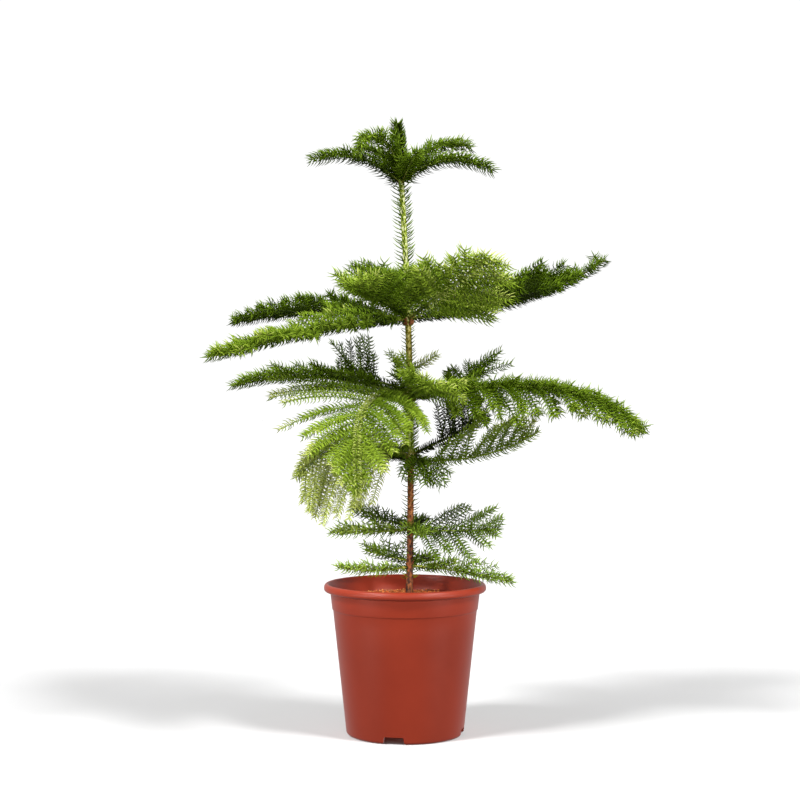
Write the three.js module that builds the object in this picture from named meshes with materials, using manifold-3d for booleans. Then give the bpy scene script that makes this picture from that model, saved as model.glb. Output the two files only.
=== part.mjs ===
// Norfolk Island pine in a round nursery pot, millimetres, +Z up.
// The origin is the middle of the pot's underside and -Y is the front.
// Every bough follows one growth rule: a stem bends away from the trunk, and paired
// twigs, each a flat spray of needles, leave it on both sides by a seeded draw.
import * as THREE from "three";
import { mergeVertices } from "three/addons/utils/BufferGeometryUtils.js";
import Module from "manifold-3d";

const wasm = await Module();
wasm.setup();

// Pot
const RIM_R = 105;
const RIM_TOP = 193.6;
const LIP_BOTTOM = 183.2;
const CREST_R = 101;
const NECK_R = 96.8;
const STEP_Z = 160.4;
const STEP_R_ABOVE = 94.3;
const STEP_R_BELOW = 93.2;
const BASE_R = 76.2;
const BASE_FILLET = 4;
const WALL = 2;
const FLOOR_UNDER = 10;
const FLOOR_TOP = 12.5;
const FOOT_R = 14;
const RING_WIDE = 4.5;
const NOTCHES = 4;
const NOTCH_WIDE = 26;
const NOTCH_HIGH = 9.6;
const NOTCH_ROUND = 3.5;
const NOTCH_FIRST_DEG = 259;
const POT_SIDES = 32;

// Potting mix
const SOIL_Z = 174;
const SOIL_EDGE_DROP = 1.6;

// Trunk
const TOP_Z = 789;
const FOOT_X = 5.2;
const LEAN = -15.2;
const BOW = 31.4;
const FLARE = 1.2;
const FLARE_HIGH = 9;
const TRUNK_R_FOOT = 5.2;
const TRUNK_R_TOP = 2.4;
const TRUNK_TIP = 16;
const TRUNK_SIDES = 9;
const TRUNK_STEPS = 18;

// Needles on the trunk's green upper part
const LEADER_FROM = 456;
const LEADER_TO = 526;
const SHEATHS = [
  { from: 546, to: 694, half: 10 },
  { from: 750, to: 784, half: 7 },
];
const SHEATH_TOOTH = 14;
const SHEATH_CORE = 6;
const LEADER_NEEDLE = 13.5;
const LEADER_GAP = 7;
const LEADER_OUT_DEG = 42;
const GOLDEN_DEG = 137.5;

// Boughs and sprays
const CLEAR = 0.3;
const KEEP_OFF = 0.36;
const STEPS = 24;
const TWIG_STEPS = 6;
const LAST = 0.97;
const TWIGS_TO = 0.88;
const ROPE_LAP = 5;
const SHOOT_TOOTH = 14;
const SHOOT_HALF = 12;
const ROPE_TOOTH = 20;
const ROPE_HALF = 9;
const SHORTEST = 12;
const NEEDLE = 9;
const SPRAY_HALF = 9.5;
const SPRAY_CORE = 1.7;
const SPRAY_ROOT = 0.4;
const SPRAY_RISE = 7;
const TOOTH = 28;
const STAGGER = 3.2;
const LIMB_SHARE = 0.15;
const LIMB_R = 1.8;
const SPRIG_R = 1.5;

// Whorls from the top down. heading is the compass angle of a bough from +X, rise and tip its
// pitch at the trunk and at its end, curl how late it bends, sweep how far it turns aside, roll the
// tilt of its frond, twig its longest twig, open, lift and sag how its twigs stand, back the length
// of the twigs on its left hand against the others, peak and fade where they are longest.
const PLAIN = {
  curl: 1,
  sweep: 0,
  roll: 0,
  open: 66,
  lift: 34,
  sag: 0.25,
  first: 0.16,
  back: 1,
  peak: 0.3,
  fade: 0.9,
  up: 0,
};
const WHORLS = [
  {
    z: 712,
    limbs: false,
    shoots: true,
    bare: 0.14,
    gap: 25,
    thick: 0.85,
    boughs: [
      { heading: 188, length: 130, rise: 49, tip: -20, twig: 22, lift: 15, up: -1 },
      { heading: 228, length: 121, rise: 72, tip: -85, curl: 1.7, twig: 22, lift: 10, up: 1 },
      { heading: 296, length: 62, rise: 50, tip: 25, twig: 18, lift: 15, up: -1 },
      { heading: 34, length: 132, rise: 60, tip: -10, twig: 26, lift: 15, up: 1 },
      { heading: 352, length: 129, rise: 45, tip: -32, twig: 24, lift: 15, up: 0 },
      { heading: 140, length: 92, rise: 62, tip: 12, twig: 20, lift: 15, up: 0 },
    ],
  },
  {
    z: 536,
    limbs: true,
    bare: 0.18,
    gap: 24,
    thick: 1,
    boughs: [
      {
        ...{ heading: 211, length: 288, rise: 6, tip: -14.2, curl: 0.22, twig: 54, up: -0.5 },
        ...{ roll: -3, open: 80, lift: 22, sag: 0.4, first: 0.1 },
      },
      { heading: 158, length: 258, rise: 9, tip: -9, twig: 48, lift: 26, up: 0 },
      { heading: 97, length: 190, rise: 21, tip: 22, twig: 78, lift: 18, up: 1 },
      {
        ...{ heading: 24, length: 312, rise: 6.5, tip: 33, curl: 1.7, twig: 80, up: 0 },
        ...{ lift: 26, peak: 0.34, fade: 2.6 },
      },
      {
        ...{ heading: 300, length: 204, rise: 18, tip: 19, twig: 78, up: 0 },
        ...{ roll: -28, lift: 9, first: 0.1, back: 0.74, peak: 0.4, fade: 0.85 },
      },
      { heading: 246, length: 166, rise: 13, tip: 5, twig: 70, lift: 34, back: 0.85, up: 1 },
    ],
  },
  {
    z: 438,
    limbs: true,
    bare: 0.18,
    gap: 24,
    thick: 1,
    boughs: [
      {
        ...{ heading: 224, length: 240, rise: 2, tip: -82, curl: 1.3, sweep: 60, twig: 108, up: 0 },
        ...{ roll: -14, lift: 12, sag: 0.42, first: 0.12, back: 1.15, peak: 0.5, fade: 1.3 },
      },
      { heading: 168, length: 245, rise: 20, tip: -13, twig: 44, lift: 28, up: -1 },
      { heading: 150, length: 120, rise: 18, tip: 10, twig: 54, lift: 66, first: 0.45, up: 1 },
      { heading: 44, length: 146, rise: 2, tip: 26, twig: 54, lift: 30, first: 0.5, back: 1.2, up: -1 },
      {
        ...{ heading: 350, length: 314, rise: 4, tip: -53, curl: 3, twig: 68, up: 1 },
        ...{ roll: 14, open: 74, lift: 8, sag: 1.05, first: 0.12, peak: 0.42, fade: 0.65 },
      },
      { heading: 280, length: 128, rise: 10, tip: 2, twig: 62, roll: -22, lift: 22, sag: 0.35, up: -1 },
    ],
  },
  {
    z: 356,
    limbs: true,
    bare: 0.18,
    gap: 24,
    thick: 0.9,
    boughs: [
      {
        ...{ heading: 202, length: 166, rise: 13, tip: -60, curl: 2.2, twig: 98, up: 1 },
        ...{ roll: -72, lift: 12, sag: 1.3, back: 0.42, fade: 0.7 },
      },
      { heading: 125, length: 130, rise: 3, tip: -8, twig: 50, lift: 24, up: 0 },
      { heading: 30, length: 130, rise: 20, tip: 24, twig: 50, lift: 62, first: 0.36, back: 1.3, up: 1 },
      { heading: 8, length: 176, rise: -3, tip: 34, curl: 1.4, twig: 74, lift: 48, up: -1 },
      { heading: 290, length: 74, rise: 4, tip: -50, twig: 42, lift: 12, sag: 0.8, up: 0 },
    ],
  },
  {
    z: 266,
    limbs: false,
    bare: 0.2,
    gap: 25,
    thick: 0.85,
    boughs: [
      { heading: 196, length: 106, rise: -3, tip: 2, twig: 32, lift: 24, up: -1 },
      { heading: 148, length: 94, rise: 2, tip: 26, twig: 28, lift: 16, up: 1 },
      { heading: 78, length: 64, rise: -4, tip: 4, twig: 24, up: 1 },
      {
        ...{ heading: 342, length: 118, rise: -2, tip: 6, twig: 60, up: -1 },
        ...{ roll: 45, lift: 12, first: 0.1, peak: 0.38 },
      },
      { heading: 285, length: 60, rise: 0, tip: -10, twig: 26, lift: 20, up: 0 },
    ],
  },
  {
    z: 219,
    limbs: false,
    bare: 0.2,
    gap: 25,
    thick: 0.85,
    boughs: [
      { heading: 190, length: 96, rise: -14, tip: 15, twig: 26, lift: 22, up: -1 },
      { heading: 138, length: 80, rise: 4, tip: 8, twig: 28, lift: 44, up: 1 },
      { heading: 60, length: 64, rise: -6, tip: 0, twig: 22, up: 1 },
      { heading: 345, length: 136, rise: -1, tip: -14, twig: 36, lift: 20, up: -1 },
    ],
  },
];
const LETTERS = "abcdef";

// Looks
const POT_LOOK = { color: 0xa4472f, roughness: 0.55, metalness: 0 };
const SOIL_LOOK = { color: 0x7a3f26, roughness: 0.95, metalness: 0 };
const BARK_LOOK = { color: 0x6f4a2c, roughness: 0.85, metalness: 0 };
const LEAF_LOOK = { color: 0x4f7f25, roughness: 0.6, metalness: 0 };

const rad = THREE.MathUtils.degToRad;
const Z = new THREE.Vector3(0, 0, 1);

// A draw of even numbers from 0 to 1 that is the same for the same seed.
function seeded(seed) {
  let a = seed >>> 0;
  return () => {
    a = (a + 0x6d2b79f5) >>> 0;
    let t = a;
    t = Math.imul(t ^ (t >>> 15), t | 1);
    t ^= t + Math.imul(t ^ (t >>> 7), t | 61);
    return ((t ^ (t >>> 14)) >>> 0) / 4294967296;
  };
}

// Solid of a closed geometry, and geometry of a solid.
function solid(geometry) {
  const bare = geometry.clone();
  bare.deleteAttribute("normal");
  bare.deleteAttribute("uv");
  const merged = mergeVertices(bare, 1e-4);
  return new wasm.Manifold(
    new wasm.Mesh({
      numProp: 3,
      vertProperties: new Float32Array(merged.attributes.position.array),
      triVerts: new Uint32Array(merged.index.array),
    }),
  );
}

function faceted(body) {
  const mesh = body.getMesh();
  const geometry = new THREE.BufferGeometry();
  geometry.setAttribute("position", new THREE.BufferAttribute(mesh.vertProperties, 3));
  geometry.setIndex(new THREE.BufferAttribute(mesh.triVerts, 1));
  geometry.computeVertexNormals();
  return geometry;
}

// The main body of a joined solid, without scraps and with any sealed hollow filled.
function mainBody(body) {
  return body.decompose().reduce((a, b) => (b.volume() > a.volume() ? b : a));
}

const pine = new THREE.Group();
pine.name = "norfolk_island_pine";

function addMesh(name, body, look) {
  const mesh = new THREE.Mesh(faceted(body), new THREE.MeshStandardMaterial({ ...look, flatShading: true }));
  mesh.name = name;
  pine.add(mesh);
}

// A straight three.js cylinder bent along a path. place gives the point for a share of the
// path and a point of the unit section.
function bent(sides, steps, pointed, place) {
  const geometry = new THREE.CylinderGeometry(pointed ? 0 : 1, 1, 1, sides, steps);
  const at = geometry.attributes.position;
  for (let i = 0; i < at.count; i++) {
    const share = at.getY(i) + 0.5;
    const size = pointed ? Math.max(1 - share, 1e-9) : 1;
    const x = at.getX(i) / size;
    const z = at.getZ(i) / size;
    const point = place(share, pointed && share > 1 - 1e-6 ? 0 : x, pointed && share > 1 - 1e-6 ? 0 : z);
    at.setXYZ(i, point.x, point.y, point.z);
  }
  return solid(geometry);
}

// Pot: a turned wall with a rolled lip, a step, a raised floor and a central foot.
function outerR(z) {
  if (z >= STEP_Z) {
    return THREE.MathUtils.mapLinear(z, STEP_Z, LIP_BOTTOM, STEP_R_ABOVE, NECK_R);
  }
  return THREE.MathUtils.mapLinear(z, BASE_FILLET, STEP_Z, BASE_R, STEP_R_BELOW);
}

function innerR(z) {
  return THREE.MathUtils.mapLinear(z, BASE_FILLET, LIP_BOTTOM, BASE_R, NECK_R - 1.6) - WALL;
}

function potBody() {
  const ring = BASE_R - RING_WIDE;
  const lip = RIM_TOP - LIP_BOTTOM;
  const profile = [
    [0, 0],
    [FOOT_R, 0],
    [FOOT_R + 1.5, FLOOR_UNDER],
    [ring + 0.8, FLOOR_UNDER],
    [ring, 0],
    [BASE_R - BASE_FILLET * 0.62, 0],
    [BASE_R - BASE_FILLET * 0.18, BASE_FILLET * 0.3],
    [BASE_R, BASE_FILLET],
    [STEP_R_BELOW, STEP_Z],
    [STEP_R_ABOVE, STEP_Z + 1],
    [NECK_R, LIP_BOTTOM],
    [NECK_R + 4.6, LIP_BOTTOM + 0.3],
    [RIM_R - 1.4, LIP_BOTTOM + lip * 0.2],
    [RIM_R, LIP_BOTTOM + lip * 0.64],
    [RIM_R - 1.2, RIM_TOP - lip * 0.12],
    [CREST_R, RIM_TOP],
    [CREST_R - 2.4, RIM_TOP - 1],
    [innerR(LIP_BOTTOM) + 0.9, LIP_BOTTOM + 3],
    [innerR(STEP_Z), STEP_Z],
    [innerR(FLOOR_TOP + 3), FLOOR_TOP + 3],
    [innerR(FLOOR_TOP) - 3, FLOOR_TOP],
    [0, FLOOR_TOP],
  ].map(([r, z]) => new THREE.Vector2(r, z));
  const turned = new THREE.LatheGeometry(profile, POT_SIDES);
  turned.rotateX(Math.PI / 2);
  let body = solid(turned);
  const half = NOTCH_WIDE / 2;
  const arch = new THREE.Shape();
  arch.moveTo(-half - NOTCH_ROUND, -1);
  arch.lineTo(half + NOTCH_ROUND, -1);
  arch.lineTo(half + NOTCH_ROUND, 0);
  arch.lineTo(half + NOTCH_ROUND * 0.3, NOTCH_ROUND * 0.3);
  arch.lineTo(half, NOTCH_ROUND);
  arch.lineTo(half - 1, NOTCH_HIGH);
  arch.lineTo(-half + 1, NOTCH_HIGH);
  arch.lineTo(-half, NOTCH_ROUND);
  arch.lineTo(-half - NOTCH_ROUND * 0.3, NOTCH_ROUND * 0.3);
  arch.lineTo(-half - NOTCH_ROUND, 0);
  for (let i = 0; i < NOTCHES; i++) {
    const cutter = new THREE.ExtrudeGeometry(arch, { depth: 30, bevelEnabled: false });
    cutter.rotateX(Math.PI / 2);
    cutter.translate(0, 90, 0);
    cutter.rotateZ(rad(NOTCH_FIRST_DEG - 90 + (i * 360) / NOTCHES));
    body = body.subtract(solid(cutter));
  }
  return body;
}

// Potting mix: a plug that fills the pot a little clear of its wall and floor.
function soilBody() {
  const low = FLOOR_TOP + CLEAR;
  const gap = CLEAR + 0.15;
  const edge = SOIL_Z - SOIL_EDGE_DROP;
  const profile = [
    [0, low],
    [innerR(FLOOR_TOP) - 3 - gap, low],
    [innerR(FLOOR_TOP + 3) - gap, FLOOR_TOP + 3 + gap],
    [innerR(edge) - gap, edge],
    [innerR(edge) - 14, SOIL_Z],
    [0, SOIL_Z],
  ].map(([r, z]) => new THREE.Vector2(r, z));
  const turned = new THREE.LatheGeometry(profile, POT_SIDES);
  turned.rotateX(Math.PI / 2);
  return solid(turned);
}

// Trunk: leaning, bowed and tapered, with a flared foot cut flat just above the mix.
function trunkAxis(z) {
  const t = (z - SOIL_Z) / (TOP_Z - SOIL_Z);
  return new THREE.Vector3(FOOT_X + LEAN * t + BOW * t * (1 - t), 0, z);
}

function trunkR(z) {
  const t = (z - SOIL_Z) / (TOP_Z - SOIL_Z);
  const flare = FLARE * Math.exp(-(z - SOIL_Z) / FLARE_HIGH);
  const point = Math.min(1, 0.35 + (0.65 * (TOP_Z - z)) / TRUNK_TIP);
  return (TRUNK_R_FOOT + (TRUNK_R_TOP - TRUNK_R_FOOT) * t + flare) * point;
}

function trunkBody(grow) {
  const low = SOIL_Z + CLEAR;
  return bent(TRUNK_SIDES, TRUNK_STEPS, false, (share, x, z) => {
    const bias = share < 0.12 ? (share * share) / 0.12 : share;
    const height = low + (TOP_Z - low) * bias;
    const r = trunkR(height) + grow;
    return trunkAxis(height).add(new THREE.Vector3(-x * r, z * r, 0));
  });
}

// One needle on the trunk, a slim three-sided cone with its root sunk in the wood.
function trunkNeedle(z, turn, length) {
  const cone = new THREE.ConeGeometry(0.85, length + 2, 3, 1);
  cone.translate(0, (length + 2) / 2, 0);
  cone.rotateZ(-rad(LEADER_OUT_DEG));
  cone.rotateX(Math.PI / 2);
  cone.rotateZ(turn);
  const r = Math.max(trunkR(z) - 1.3, 0.2);
  const root = trunkAxis(z).add(new THREE.Vector3(Math.cos(turn) * r, Math.sin(turn) * r, 0));
  cone.translate(root.x, root.y, root.z);
  return solid(cone);
}

// The stem of a bough: its points, its directions and the right-hand side at each step.
function boughStem(b) {
  const points = [trunkAxis(b.z)];
  const ways = [];
  const rights = [];
  for (let i = 0; i < STEPS; i++) {
    const u = (i + 0.5) / STEPS;
    const heading = rad(b.heading + b.sweep * u);
    const pitch = rad(b.rise + (b.tip - b.rise) * u ** b.curl);
    const flat = Math.cos(pitch);
    const way = new THREE.Vector3(Math.cos(heading) * flat, Math.sin(heading) * flat, Math.sin(pitch));
    points.push(points[i].clone().addScaledVector(way, b.length / STEPS));
    ways.push(way);
    rights.push(new THREE.Vector3(Math.sin(heading), -Math.cos(heading), 0));
  }
  return { points, ways, rights };
}

// Point and direction at a share of a line of points, carried straight on past its end.
function along(points, share) {
  const last = points.length - 1;
  const k = Math.min(last - 1, Math.max(0, Math.floor(share * last)));
  const step = points[k + 1].clone().sub(points[k]);
  const point = points[k].clone().addScaledVector(step, share * last - k);
  return { point, way: step.normalize() };
}

function profile(b, v) {
  return Math.sin(Math.PI * (b.peak + (0.96 - b.peak) * v)) ** b.fade;
}

// The paired twigs of a bough, each a line of points with the frond's upward direction.
function boughTwigs(b, stem) {
  const draw = seeded(b.seed);
  const pairs = Math.max(2, Math.round((b.length * (LAST - b.first)) / b.gap));
  const twigs = [];
  for (let i = 0; i < pairs; i++) {
    for (const side of [1, -1]) {
      const v = (i + 0.5 + 0.35 * (draw() - 0.5) + 0.2 * side) / pairs;
      const u = b.first + (LAST - b.first) * v;
      const { point, way } = along(stem.points, u);
      const left = new THREE.Vector3().crossVectors(Z, way).normalize();
      const up = new THREE.Vector3().crossVectors(way, left);
      const out = left.multiplyScalar(Math.cos(rad(b.roll))).addScaledVector(up, Math.sin(rad(b.roll)));
      const top = new THREE.Vector3().crossVectors(way, out);
      const angle = rad(b.open - 26 * v + 14 * (draw() - 0.5));
      const lift = rad(b.lift + 26 * (draw() - 0.5));
      const hand = side > 0 ? 1 : b.back;
      const length = b.twig * profile(b, v) * (0.8 + 0.4 * draw()) * hand;
      if (length < SHORTEST || u > TWIGS_TO) {
        continue;
      }
      const go = way.clone().multiplyScalar(Math.cos(angle)).addScaledVector(out, side * Math.sin(angle));
      go.multiplyScalar(Math.cos(lift)).addScaledVector(top, Math.sin(lift));
      const points = [point];
      for (let j = 0; j < TWIG_STEPS; j++) {
        go.addScaledVector(way, 0.3 / TWIG_STEPS);
        go.z -= b.sag / TWIG_STEPS;
        go.normalize();
        points.push(points[j].clone().addScaledVector(go, length / TWIG_STEPS));
      }
      twigs.push({ points, length, top });
    }
  }
  return twigs;
}

// A spray: a three-edged toothed blade along a line of points. Its teeth are the needles, which
// spread to both sides and stand up from the twig.
function spray(points, length, top, from) {
  const reach = 1 + NEEDLE / length;
  const teeth = Math.min(5, Math.max(2, Math.round((length * (reach - from)) / TOOTH)));
  const rings = 2 * teeth;
  return bent(3, rings, true, (share, x, z) => {
    const ring = Math.round(share * rings);
    const wide = ring % 2 === 1;
    const s = (ring + (wide ? 0.35 : 0)) / rings;
    const { point, way } = along(points, from + (reach - from) * s);
    const right = new THREE.Vector3().crossVectors(way, top).normalize();
    const up = new THREE.Vector3().crossVectors(right, way);
    const tail = ring === 0 ? SPRAY_ROOT : 1 - 0.4 * share;
    const half = (wide ? SPRAY_HALF : SPRAY_CORE) * tail;
    const high = (wide ? SPRAY_RISE : SPRAY_CORE) * tail;
    return point.addScaledVector(right, (x / 0.866) * half).addScaledVector(up, z * high);
  });
}

// A shoot that needles ring all round: a rope of cones that open forward, three- or four-edged.
function rope(points, rights, length, from, sides, half, tooth, core) {
  const reach = 1 + NEEDLE / length;
  const rings = 2 * Math.round((length * (reach - from)) / tooth);
  return bent(sides, rings, true, (share, x, z) => {
    const ring = Math.round(share * rings);
    const wide = ring % 2 === 1;
    const u = from + ((reach - from) * (ring + (wide ? 0.4 : 0))) / rings;
    const { point, way } = along(points, u);
    const right = rights[Math.min(rights.length - 1, Math.floor(u * rights.length))];
    const up = new THREE.Vector3().crossVectors(right, way).normalize();
    const side = new THREE.Vector3().crossVectors(way, up);
    const young = Math.min(1, 0.3 + 0.16 * ring);
    const slim = ring === 0 ? core * SPRAY_ROOT : core * (1 - 0.4 * share);
    const r = wide ? half * young * (1 - 0.3 * share) : slim;
    const low = sides === 3 && z < 0 ? 1.4 : 1;
    return point.addScaledVector(side, x * r).addScaledVector(up, z * r * low);
  });
}

// A limb or a sprig stem between two shares of the bough's line.
function limb(stem, from, to, startR, endR, sides, steps) {
  return bent(sides, steps, false, (share, x, z) => {
    const u = from + (to - from) * share;
    const { point, way } = along(stem.points, u);
    const right = stem.rights[Math.min(STEPS - 1, Math.floor(u * STEPS))].clone();
    const up = new THREE.Vector3().crossVectors(right, way).normalize();
    right.crossVectors(way, up);
    const r = startR + (endR - startR) * share;
    return point.addScaledVector(right, x * r).addScaledVector(up, z * r);
  });
}

// Whether two solids come nearer than the clearance.
function boxesMeet(a, b) {
  const p = a.boundingBox();
  const q = b.boundingBox();
  return [0, 1, 2].every((i) => p.min[i] - KEEP_OFF < q.max[i] && q.min[i] - KEEP_OFF < p.max[i]);
}

function tooNear(a, b) {
  return boxesMeet(a, b) && a.minGap(b, KEEP_OFF * 2) < KEEP_OFF;
}

// Boughs: the woody limbs and the bare stems of the masses come first.
const bark = trunkBody(0);
const sleeve = trunkBody(CLEAR);
const boughs = [];
WHORLS.forEach((whorl, tier) => {
  whorl.boughs.forEach((row, i) => {
    const name = `${tier + 1}${LETTERS[i]}`;
    const b = { ...PLAIN, ...row, name, gap: whorl.gap, seed: (tier + 1) * 101 + i * 7 };
    b.z = whorl.z + b.up * STAGGER;
    const stem = boughStem(b);
    const thick = whorl.thick;
    const start = whorl.limbs ? LIMB_SHARE : 0;
    const bough = { b, stem, sprays: [] };
    if (whorl.limbs) {
      const whole = limb(stem, 0, start, LIMB_R * thick, SPRIG_R * thick, 5, 3);
      bough.limb = mainBody(whole.subtract(sleeve));
    }
    const from = whorl.limbs ? start + CLEAR / b.length : 0;
    const end = whorl.bare + ROPE_LAP / b.length;
    const sprig = limb(stem, from, end, SPRIG_R * thick, SPRIG_R * thick * 0.9, 3, 2);
    bough.sprig = whorl.limbs ? sprig : mainBody(sprig.subtract(sleeve));
    const sides = whorl.shoots ? 4 : 3;
    const half = whorl.shoots ? SHOOT_HALF : ROPE_HALF;
    const tooth = whorl.shoots ? SHOOT_TOOTH : ROPE_TOOTH;
    const needled = rope(stem.points, stem.rights, b.length, whorl.bare, sides, half, tooth, SPRAY_CORE);
    bough.sprig = mainBody(bough.sprig.add(needled));
    bough.shoot = whorl.shoots;
    boughs.push(bough);
  });
});

// Needles on the trunk, where no bough leaves it.
let trunk = bark;
const woods = boughs.flatMap((bough) => (bough.limb ? [bough.limb, bough.sprig] : [bough.sprig]));
for (const sheath of SHEATHS) {
  const line = [];
  for (let i = 0; i <= STEPS; i++) {
    line.push(trunkAxis(sheath.from + ((sheath.to - sheath.from) * i) / STEPS));
  }
  const length = sheath.to - sheath.from;
  const across = [new THREE.Vector3(1, 0, 0)];
  trunk = trunk.add(rope(line, across, length, 0, 4, sheath.half, SHEATH_TOOTH, SHEATH_CORE));
}
const needles = Math.floor((LEADER_TO - LEADER_FROM) / LEADER_GAP);
for (let i = 0; i < needles; i++) {
  const z = LEADER_FROM + (i + 0.5) * LEADER_GAP;
  const needle = trunkNeedle(z, rad(i * GOLDEN_DEG), LEADER_NEEDLE);
  if (!woods.some((wood) => tooNear(needle, wood))) {
    trunk = trunk.add(needle);
  }
}
trunk = mainBody(trunk);

// Sprays: a twig that would touch another piece is tried shorter, and then skipped.
for (const bough of boughs) {
  const { b, stem } = bough;
  const others = boughs.filter((o) => o !== bough);
  const blocked = [trunk, ...others.flatMap((o) => (o.limb ? [o.limb, o.sprig] : [o.sprig]))];
  if (bough.limb) {
    blocked.push(bough.limb);
  }
  const free = (body) =>
    !blocked.some((o) => tooNear(body, o)) && !others.some((o) => o.sprays.some((s) => tooNear(body, s)));
  if (bough.shoot) {
    continue;
  }
  for (const twig of boughTwigs(b, stem)) {
    for (const share of [1, 0.72, 0.5]) {
      const line = [0, 1, 2, 3, 4, 5, 6].map((j) => along(twig.points, (j / 6) * share).point);
      const body = spray(line, twig.length * share, twig.top, 0);
      if (free(body)) {
        bough.sprays.push(body);
        break;
      }
    }
  }
}

addMesh("pot", potBody(), POT_LOOK);
addMesh("soil", soilBody(), SOIL_LOOK);
addMesh("trunk", trunk, BARK_LOOK);
for (const bough of boughs) {
  if (bough.limb) {
    addMesh(`bough_${bough.b.name}`, bough.limb, BARK_LOOK);
  }
  const mass = bough.sprays.reduce((body, s) => body.add(s), bough.sprig);
  addMesh(`foliage_${bough.b.name}`, mainBody(mass), LEAF_LOOK);
}

export default pine;
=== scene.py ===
"""Young Norfolk Island pine in a round nursery pot: trunk, boughs, twigs, needles, potting mix and pot."""

import math

import bpy
import numpy as np
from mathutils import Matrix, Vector


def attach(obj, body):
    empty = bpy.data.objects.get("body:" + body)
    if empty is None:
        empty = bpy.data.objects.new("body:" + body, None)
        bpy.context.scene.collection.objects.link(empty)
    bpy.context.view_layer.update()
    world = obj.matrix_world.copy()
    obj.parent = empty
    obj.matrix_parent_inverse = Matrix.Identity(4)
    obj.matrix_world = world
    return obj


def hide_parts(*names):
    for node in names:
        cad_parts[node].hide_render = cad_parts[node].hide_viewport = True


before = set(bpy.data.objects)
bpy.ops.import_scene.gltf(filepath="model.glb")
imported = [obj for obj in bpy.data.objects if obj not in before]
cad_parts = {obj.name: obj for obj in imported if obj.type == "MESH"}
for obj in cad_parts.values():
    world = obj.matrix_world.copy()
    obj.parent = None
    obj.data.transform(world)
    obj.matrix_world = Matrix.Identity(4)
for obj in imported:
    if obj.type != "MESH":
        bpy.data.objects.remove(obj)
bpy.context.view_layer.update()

# Lengths are in millimetres, as in the part's source, until a mesh is made.
MM = 0.001
BODY = "root"

# Pot
RIM_R = 105
RIM_TOP = 193.6
LIP_BOTTOM = 183.2
LIP_EASE = 0.4
LIP_ROUND_R = 3.4
LIP_ROUND_Z = 4
CREST_R = 101
CREST_DROP = 5.6
CREST_IN_R = 2.6
CREST_IN_Z = 3
NECK_R = 96.8
NECK_HIGH = 6
STEP_Z = 160.4
STEP_R_ABOVE = 94.3
STEP_R_BELOW = 93.2
WALL_ROWS = (30, 70, 110, 145, STEP_Z - 1)
BASE_R = 76.2
BASE_FILLET = 4
WALL = 2
INNER_TAPER = 1.6
FLOOR_UNDER = 10
FLOOR_TOP = 12.5
FLOOR_ROUND = 3
FOOT_R = 14
FOOT_DRAFT = 1.5
RING_WIDE = 4.5
RING_DRAFT = 0.8
EDGE = 0.6
NOTCHES = 4
NOTCH_WIDE = 26
NOTCH_HIGH = 9.6
NOTCH_ROUND = 4
NOTCH_R = (58, 92)
NOTCH_FIRST_DEG = 259
POT_SIDES = 144
POT_SHARP_DEG = 38

# Potting mix. A wave of its surface has a length, a height and a turn.
SOIL_Z = 174
SOIL_EDGE_DROP = 1.6
SOIL_SLOPE = 14
SOIL_ROUGH = 0.55
SOIL_GAP = 0.45
SOIL_OFF_FLOOR = 0.3
SOIL_SIDES = 96
SOIL_CUTS = 3
WAVES = ((46, 1.0, 0.3), (21, 0.8, 1.7), (11, 0.7, 2.6), (6.1, 0.6, 4.0), (3.7, 0.5, 5.3))
WAVE_CROSS = 1.3
CRUMBS = 1500
CRUMB_EDGE = 3
CRUMB_CLEAR = 6.4
CRUMB_RISE = 0.3
CRUMB_ROUGH = 0.5
CRUMB_SEED = 911
FIBRES = 420
FIBRE_EDGE = 9
FIBRE_RADII = (0.2, 0.24, 0.24, 0.2, 0.1)
FIBRE_SIDES = 4
FIBRE_ARCH = 0.7
FIBRE_RISE = 0.25
FIBRE_SEED = 417

# Trunk
TOP_Z = 789
FOOT_X = 5.2
LEAN = -15.2
BOW = 31.4
FLARE = 1.2
FLARE_HIGH = 9
TRUNK_TIP = 16
TRUNK_TIP_SHARE = 0.35
TRUNK_SUNK = 1.2
BARK_GIRTH_AT = (174, 330, 490, 560, 700, 760, 789)
BARK_GIRTH_R = (4.4, 4.0, 4.1, 3.8, 3.5, 2.8, 2.2)
BARK_SKIN = 0.95
BARK_ROUGH = 0.05
TRUNK_SIDES = 26
TRUNK_RING_GAP = 1.3
COLLAR = 0.22
COLLAR_HIGH = 4.5
CUSHION = 0.13
CUSHION_GAP = 1.25
CUSHION_HIGH = 2.6
CUSHION_TURN = 0.32
CUSHION_REACH = 7
GOLDEN_DEG = 137.5
SCALES_HIGH = 9
SCALE_POINTS = 12
SCALE_HALF_WIDE = 1.3
SCALE_SEED = 233

# Boughs, twigs and tufts
STEPS = 24
TWIG_STEPS = 6
LAST = 0.97
TWIGS_TO = 0.95
SHORTEST = 7
STAGGER = 3.2
PAIR_SHIFT = 0.2
PLACE_LOOSE = 0.35
OPEN_CLOSING = 26
OPEN_LOOSE = 14
LIFT_LOOSE = 26
TWIG_ONWARD = 0.3
PROFILE_END = 0.96
LIMB_R = 1.8
TIP_R = 0.7
BOUGH_TAPER = 0.8
BOUGH_SIDES = 8
BOUGH_RING_GAP = 2.4
BOUGH_LEAST_RINGS = 12
BOUGH_ROUGH = 0.2
ROOT_SWELL = 0.5
ROOT_SWELL_LONG = 5
OLD_BARK_LONG = 11
TWIG_R = 0.62
TWIG_END = 0.55
TWIG_SIDES = 5
TRUNK_ROOM = 9.5
TUFTS_FROM = 0.24
TUFTS_REACH = 0.74
TUFT_PAIR_SHIFT = 0.25
TUFT_LOOSE = 0.3
TUFT_LONG = 17
TUFT_POINTS = 4
TUFT_ONWARD = 0.45
TUFT_OUTWARD = 0.85
TUFT_UPWARD = (0.3, 0.8)
TUFT_SEED = 9000

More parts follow.
